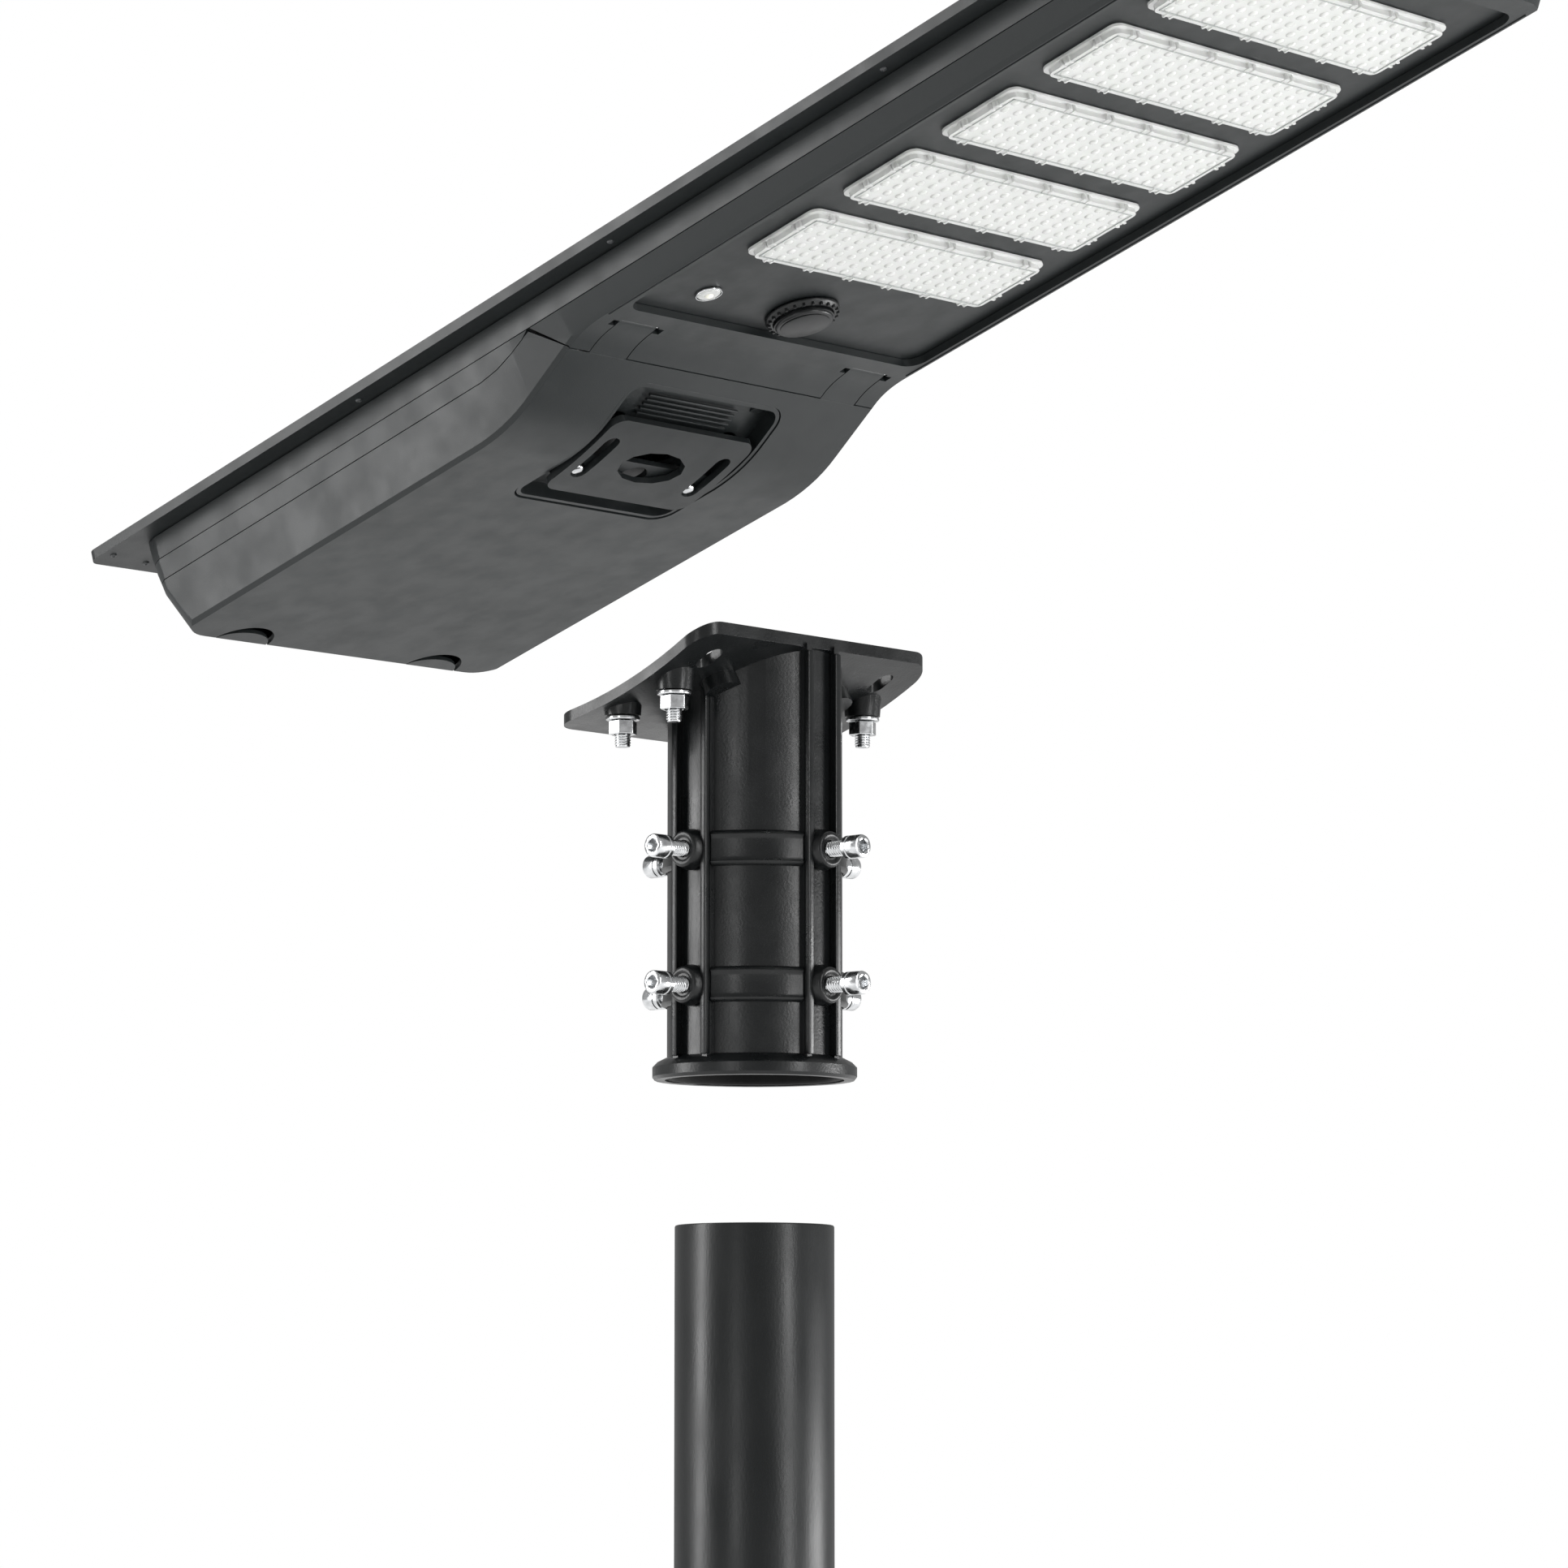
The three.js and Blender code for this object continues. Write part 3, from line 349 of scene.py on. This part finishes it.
def finish_nodes():
    """Every CAD node gets its slot's material, softened edges and even shading."""
    slots = {entry["node"]: entry["material_slot"] for entry in frame["record"]["subparts"]}
    for name, obj in frame["nodes"].items():
        obj.data.materials.clear()
        obj.data.materials.append(MATERIAL[slots[name]])
        for polygon in obj.data.polygons:
            polygon.use_smooth = True
        weld = obj.modifiers.new("weld", "WELD")
        weld.merge_threshold = 0.00001
        edge = obj.modifiers.new("edge", "BEVEL")
        edge.width = FINE_EDGE if slots[name] in FINE_EDGE_SLOTS else SOFT_EDGE
        edge.segments = 2
        edge.limit_method = "ANGLE"
        edge.angle_limit = math.radians(30)
        even = obj.modifiers.new("even", "WEIGHTED_NORMAL")
        even.mode = "FACE_AREA_WITH_ANGLE"
        even.weight = 75
        even.keep_sharp = True


# ---------------------------------------------------------------- pole and fasteners


def pole():
    """Plain tube with a softened upper rim."""
    bm = bmesh.new()
    lathe(bm, [
        (POLE_INNER, 0),
        (POLE_OUTER, 0),
        (POLE_OUTER, POLE_LENGTH - 0.9),
        (POLE_OUTER - 0.3, POLE_LENGTH - 0.25),
        (POLE_OUTER - 0.9, POLE_LENGTH),
        (POLE_INNER + 0.4, POLE_LENGTH),
        (POLE_INNER, POLE_LENGTH - 0.4),
        (POLE_INNER, 0),
    ], 128)
    piece("pole_tube", bm, "pole", "pole_paint", replaces=["pole_section"])


def clamp_screw(side, row):
    """Long clamp screw along +X: bright thread, neck, round head with a hexagon socket."""
    angle = math.radians(SCREW_SIDES[side])
    turn = Matrix.Rotation(angle, 4, "Z") @ Matrix.Rotation(math.radians(90), 4, "Y")
    matrix = Matrix.Translation((0, 0, (ADAPTER_Z + SCREW_ROWS[row]) * MM)) @ turn
    bm = bmesh.new()
    thread(bm, low=40.2, high=59.2, radius=THREAD_R, pitch=1.5, depth=0.62)
    neck = [(0, 58.8), (3.4, 58.8), (3.4, 60.0), (4.9, 60.0), (5.6, 60.7), (5.6, 62.6)]
    groove = [(5.2, 62.9), (5.2, 63.4), (5.6, 63.7)]
    head = [(5.6, 69.4), (5.3, 70.1), (4.6, 70.5), (3.4, 70.5)]
    lathe(bm, neck + groove + head, 40)
    socket(bm, rim=3.4, flat=2.9, top=70.5, bottom=66.0)
    piece(f"threaded_screw_{side}_{row}", bm, f"clamp_screw_{side}_{row}", "stainless", matrix,
          replaces=[f"clamp_screw_{side}_{row}"], smooth=35)


def socket(bm, rim, flat, top, bottom):
    """Hexagon recess from a round rim down to its floor."""
    count = 40

    def hexagon(a):
        return min(flat / max(1e-6, math.cos((a % (math.pi / 3)) - math.pi / 6)), rim)

    turns = [2 * math.pi * i / count for i in range(count)]
    rings = [[bm.verts.new((rim * math.cos(a), rim * math.sin(a), top)) for a in turns]]
    for z in (top - 0.3, bottom):
        rings.append([bm.verts.new((hexagon(a) * math.cos(a), hexagon(a) * math.sin(a), z)) for a in turns])
    for lower, upper in zip(rings, rings[1:]):
        for i in range(count):
            j = (i + 1) % count
            bm.faces.new((lower[i], upper[i], upper[j], lower[j]))
    bm.faces.new(rings[-1])


def saddle_underside(x):
    """Height of the saddle plate's lower face, in millimetres."""
    return SADDLE_AXIS_Z - math.sqrt(SADDLE_LOW_R ** 2 - (x - SADDLE_AXIS_X) ** 2)


def casting_bands():
    """Raised bands between the screw columns."""
    bm = bmesh.new()
    section = [(42.6, -8.4), (44.3, -7.6), (44.9, -6.4), (44.2, -5.4), (44.0, -4.0),
               (44.0, 4.0), (44.2, 5.4), (44.9, 6.4), (44.3, 7.6), (42.6, 8.4)]
    steps = 14
    first_angle, sweep = 15.5, 59
    for quarter in range(4):
        for row in SCREW_ROWS.values():
            rings = []
            for k in range(steps + 1):
                a = math.radians(90 * quarter + first_angle + sweep * k / steps)
                rings.append([bm.verts.new((r * math.cos(a), r * math.sin(a), ADAPTER_Z + row + z))
                              for r, z in section])
            for first, second in zip(rings, rings[1:]):
                for i in range(len(section)):
                    j = (i + 1) % len(section)
                    bm.faces.new((first[i], first[j], second[j], second[i]))
            bm.faces.new(rings[0])
            bm.faces.new(rings[-1][::-1])
    piece("casting_bands", bm, "adapter", "casting_paint")


def casting_rails():
    """Upright rails beside the screw columns, from the flange to just under the saddle plate."""
    bm = bmesh.new()
    inner, outer = 42.5, 46.0
    offset, half_width = 9.5, 1.9
    reach = 2  # the saddle slopes, so its height is taken on both sides of the rail
    gap = 0.8
    for quarter in range(4):
        turn = Matrix.Rotation(math.radians(90 * quarter), 4, "Z")
        for side in (-1, 1):
            y = side * offset
            foot = turn @ Vector((44, y, 0))
            top = min(saddle_underside(foot.x - reach), saddle_underside(foot.x + reach)) - gap
            low = (inner, y - half_width, ADAPTER_Z + 10)
            block(bm, low, (outer, y + half_width, top), turn, bevel=0.7)
    piece("casting_rails", bm, "adapter", "casting_paint")


def casting_collars():
    """Rounded lip round each screw's hole."""
    bm = bmesh.new()
    outward = Matrix.Rotation(math.radians(90), 4, "Y")
    profile = [(4.5, 44), (9.9, 44), (9.4, 46.5), (8.7, 49.2), (8.1, 50.1),
               (7.2, 50.4), (6.0, 50.2), (5.2, 49.4), (4.5, 49.0), (4.5, 44)]
    for angle in SCREW_SIDES.values():
        turn = Matrix.Rotation(math.radians(angle), 4, "Z") @ outward
        for row in SCREW_ROWS.values():
            lathe(bm, profile, 40, Matrix.Translation((0, 0, ADAPTER_Z + row)) @ turn)
    piece("casting_collars", bm, "adapter", "casting_paint", smooth=50)


def saddle_bolt(column, side):
    """Bolt under the saddle plate: thread that shows below its nut."""
    name = f"saddle_bolt_{column}_{side}"
    low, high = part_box(name)
    centre = (low + high) / 2
    bm = bmesh.new()
    thread(bm, low=0, high=(high.z - low.z) / MM, radius=THREAD_R, pitch=1.25, depth=0.55)
    foot = Matrix.Translation((centre.x, centre.y, low.z))
    piece(f"threaded_{name}", bm, "adapter", "stainless", foot, replaces=[name], smooth=35)


# ---------------------------------------------------------------- head details


def lens_spots(x0):
    """Middle of each lamp of a module whose rear edge is at x0."""
    rows, columns = 6, 18
    margin_x, margin_y = 7.2, 8.5
    for i in range(rows):
        for j in range(columns):
            x = x0 + margin_x + (MODULE_WIDTH - 2 * margin_x) * i / (rows - 1)
            y = -MODULE_LENGTH / 2 + margin_y + (MODULE_LENGTH - 2 * margin_y) * j / (columns - 1)
            yield x, y


def lens_detail(index):
    """Domes, clips and rim of one clear module, and the lamp chips behind it."""
    x0 = index * MODULE_PITCH
    domes = bmesh.new()
    dome = [(2.3, 0.02), (2.1, -0.3), (1.5, -0.65), (0.8, -0.85), (0, -0.9)]
    for x, y in lens_spots(x0):
        lathe(domes, dome, 12, Matrix.Translation((x, y, LENS_FACE_Z)))
    piece(f"lens_domes_{index + 1}", domes, "head", "lens_clear", HEAD, smooth=60)

    clips = bmesh.new()
    stud = [(0, -2.6), (0.9, -2.6), (1.15, -2.3), (1.15, 0.6)]
    for x, y, turn in clip_places(x0):
        at = Matrix.Translation((x, y, -1.6)) @ Matrix.Rotation(turn, 4, "Z")
        for offset in (-2.1, 2.1):
            block(clips, (offset - 0.7, -1.9, -3.1), (offset + 0.7, 1.5, 0.9), at, bevel=0.25)
        lathe(clips, stud, 12, at)
    piece(f"lens_clips_{index + 1}", clips, "head", "lens_clear", HEAD)

    rim = bmesh.new()
    inset, line = 4.4, 0.6
    bottom, top = LENS_FACE_Z - 0.45, LENS_FACE_Z + 0.05
    low_x, high_x = x0 + inset, x0 + MODULE_WIDTH - inset
    half = MODULE_LENGTH / 2 - inset
    for x in (low_x, high_x - line):
        block(rim, (x, -half, bottom), (x + line, half, top), bevel=0.12)
    for y in (-half, half - line):
        block(rim, (low_x, y, bottom), (high_x, y + line, top), bevel=0.12)
    # the rim's darker material is painted shade, drawing the dark outline along the module's edge
    piece(f"lens_rim_{index + 1}", rim, "head", "lens_clear", HEAD, material="lens_rim_painted_shade")

    chips = bmesh.new()
    chip = 1.3
    for x, y in lens_spots(x0):
        block(chips, (x - chip, y - chip, -2.4), (x + chip, y + chip, -1.85), bevel=0.15)
    piece(f"led_chips_{index + 1}", chips, "head", "board_white", HEAD, material="led_chip")


def clip_places(x0):
    """Where the clips stand round a module: six on each long side and two on each short side."""
    half = MODULE_LENGTH / 2
    places = []
    for k in range(6):
        y = -half + MODULE_LENGTH * (k + 0.5) / 6
        places.append((x0 + 2.2, y, math.pi / 2))
        places.append((x0 + MODULE_WIDTH - 2.2, y, -math.pi / 2))
    for x in (x0 + MODULE_WIDTH * 0.3, x0 + MODULE_WIDTH * 0.7):
        places.append((x, -half + 2.2, math.pi))
        places.append((x, half - 2.2, 0))
    return places


def panel_screws():
    """Small pan-head screws under the panel's overhang."""
    bm = bmesh.new()
    overhang_z = 19.6
    profile = [(1.7, 0.05), (1.7, -0.3), (1.4, -0.7), (0.8, -0.9), (0.6, -0.5), (0, -0.45)]
    places = [(x, side * 121.5) for x in (-225, -45, 135, 315) for side in (-1, 1)]
    places += [(-416, side * 121) for side in (-1, 1)]
    places += [(-419, side * 97) for side in (-1, 1)]
    for x, y in places:
        lathe(bm, profile, 20, Matrix.Translation((x, y, overhang_z)))
    piece("panel_screws", bm, "head", "stainless", HEAD, material="screw_dull")


def bracket_ribs():
    """Raised ribs across the front of the mount's recess."""
    bm = bmesh.new()
    slope = math.radians(-20)
    half_length = 31
    for k in range(5):
        place = Matrix.Translation((-131 + 2.7 * k, 0, -16.4 + 1.1 * k))
        turn = Matrix.Rotation(slope, 4, "Y")
        block(bm, (-0.7, -half_length, -0.45), (0.7, half_length, 1.2), place @ turn, bevel=0.35)
    piece("bracket_ribs", bm, "head", "shell_paint", HEAD)


def sensor_ribs():
    """Grip ribs round the sensor's collar, and the stepped ring on its cap."""
    middle = Matrix.Translation((SENSOR_X, 0, 0))
    grip = bmesh.new()
    count = 24
    for k in range(count):
        at = middle @ Matrix.Rotation(2 * math.pi * k / count, 4, "Z")
        block(grip, (16.2, -0.7, -3.9), (17.7, 0.7, -1.6), at, bevel=0.25)
    piece("sensor_grip", grip, "head", "black_plastic", HEAD)

    rings = bmesh.new()
    lathe(rings, [(14.3, -5.0), (14.9, -4.9), (14.9, -4.3), (14.3, -4.2), (14.3, -5.0)], 64, middle)
    lathe(rings, [(12.2, -6.3), (12.2, -6.75), (11.6, -7.0), (0, -7.15)], 64, middle)
    piece("sensor_rings", rings, "head", "black_plastic", HEAD)


def indicator():
    """Bright bezel and small lamp behind the indicator's clear lens."""
    at = Matrix.Translation((SENSOR_X, INDICATOR_Y, 0))
    bezel = bmesh.new()
    lathe(bezel, [(6.1, -0.2), (6.7, -0.2), (6.7, -0.7), (6.5, -1.0), (6.1, -1.0), (6.1, -0.2)], 48, at)
    piece("indicator_bezel", bezel, "head", "stainless", HEAD)
    lamp = bmesh.new()
    lathe(lamp, [(0, -2.4), (1.2, -2.3), (2.0, -1.9), (2.2, -1.5)], 24, at)
    piece("indicator_lamp", lamp, "head", "board_white", HEAD, material="led_chip")


def seam_seal():
    """Dark strip inside the seam between the battery cover and the light end."""
    bm = bmesh.new()
    lean = math.atan2(0.8, 1)
    at = Matrix.Translation((-107.5, 0, 0.6)) @ Matrix.Rotation(lean, 4, "Y")
    half = Vector((8, 97, 1.3))
    block(bm, -half, half, at, bevel=0.2)
    piece("seam_seal", bm, "head", "black_plastic", HEAD)


def edge_bead():
    """Fine raised line along each lower edge of the light end."""
    edge_y, half_width = 104.9, 0.45
    rear, front = -70, 326
    for side, name in ((-1, "left"), (1, "right")):
        bm = bmesh.new()
        y = side * edge_y
        block(bm, (rear, y - half_width, -4.5), (front, y + half_width, -3.9), bevel=0.2)
        piece(f"edge_bead_{name}", bm, "head", "shell_paint", HEAD)


# ---------------------------------------------------------------- studio


def area(name, place, target, size, power):
    """Rectangular soft box that faces its target."""
    light = bpy.data.lights.new(name, "AREA")
    light.shape = "RECTANGLE"
    light.size, light.size_y = size
    light.energy = power
    obj = bpy.data.objects.new(name, light)
    obj.location = place
    obj.rotation_euler = (Vector(target) - Vector(place)).to_track_quat("-Z", "Y").to_euler()
    bpy.context.scene.collection.objects.link(obj)


def studio_floor():
    """Wide pale disc under the lamp, which glows a little like a lit studio floor."""
    bm = bmesh.new()
    bmesh.ops.create_circle(bm, cap_ends=True, segments=96, radius=6)
    mesh = bpy.data.meshes.new("floor")
    bm.to_mesh(mesh)
    bm.free()
    floor = bpy.data.objects.new("floor", mesh)
    floor.location.z = -0.0005
    material, _, _, shader = new_material("floor")
    shader.inputs["Base Color"].default_value = (0.9, 0.9, 0.9, 1)
    shader.inputs["Roughness"].default_value = 0.9
    shader.inputs["Emission Color"].default_value = (1, 1, 1, 1)
    shader.inputs["Emission Strength"].default_value = 0.3
    mesh.materials.append(material)
    bpy.context.scene.collection.objects.link(floor)


def room():
    """White background that lights the lamp with only AMBIENT of its strength."""
    world = bpy.context.scene.world or bpy.data.worlds.new("studio")
    bpy.context.scene.world = world
    world.use_nodes = True
    nodes, links = world.node_tree.nodes, world.node_tree.links
    background = nodes["Background"]
    background.inputs["Color"].default_value = (1, 1, 1, 1)
    seen = nodes.new("ShaderNodeLightPath")
    strength = nodes.new("ShaderNodeMapRange")
    strength.inputs["To Min"].default_value = AMBIENT
    strength.inputs["To Max"].default_value = 1.0
    links.new(seen.outputs["Is Camera Ray"], strength.inputs["Value"])
    links.new(strength.outputs["Result"], background.inputs["Strength"])
    bpy.context.scene.view_settings.view_transform = "Standard"


def lights():
    """Soft boxes round the lamp, and one below it that lights the lens modules."""
    middle = (0, 0, 0.5)
    light_end = (0.16, 0, 0.8)
    area("key", (-1.7, -1.9, 0.9), middle, size=(0.6, 2.4), power=46)
    area("rim", (2.6, 0.2, 0.9), middle, size=(0.4, 2.4), power=30)
    area("front", (0.9, -2.9, 0.5), middle, size=(0.5, 2.2), power=12)
    area("top", (0.0, 0.4, 2.6), middle, size=(1.6, 1.6), power=13)
    area("under", (0.9, 1.1, 0.12), light_end, size=(0.7, 0.7), power=20)


def camera():
    """Camera at the photograph's viewing angle, aimed a little below the head."""
    azimuth, elevation = math.radians(43), math.radians(-6.8)
    right = Vector((math.cos(azimuth), math.sin(azimuth), 0))
    level = math.cos(elevation)
    back = Vector((math.sin(azimuth) * level, -math.cos(azimuth) * level, math.sin(elevation)))
    aim_height, aim_right, distance = 0.5116, 0.01403, 2.728
    data = bpy.data.cameras.new("camera")
    data.lens = 130.4
    data.sensor_width = 36
    data.clip_end = 100
    obj = bpy.data.objects.new("camera", data)
    place = Vector((0, 0, aim_height)) + right * aim_right + back * distance
    axes = Matrix((right, back.cross(right), back)).transposed().to_4x4()
    obj.matrix_world = Matrix.Translation(place) @ axes
    bpy.context.scene.collection.objects.link(obj)
    bpy.context.scene.camera = obj


# ---------------------------------------------------------------- build

camera()
finish_nodes()
pole()
for side in SCREW_SIDES:
    for row in SCREW_ROWS:
        clamp_screw(side, row)
casting_bands()
casting_rails()
casting_collars()
for column in ("front", "rear"):
    for side in ("left", "right"):
        saddle_bolt(column, side)
for module in range(MODULE_COUNT):
    lens_detail(module)
panel_screws()
bracket_ribs()
sensor_ribs()
indicator()
edge_bead()
seam_seal()
studio_floor()
room()
lights()
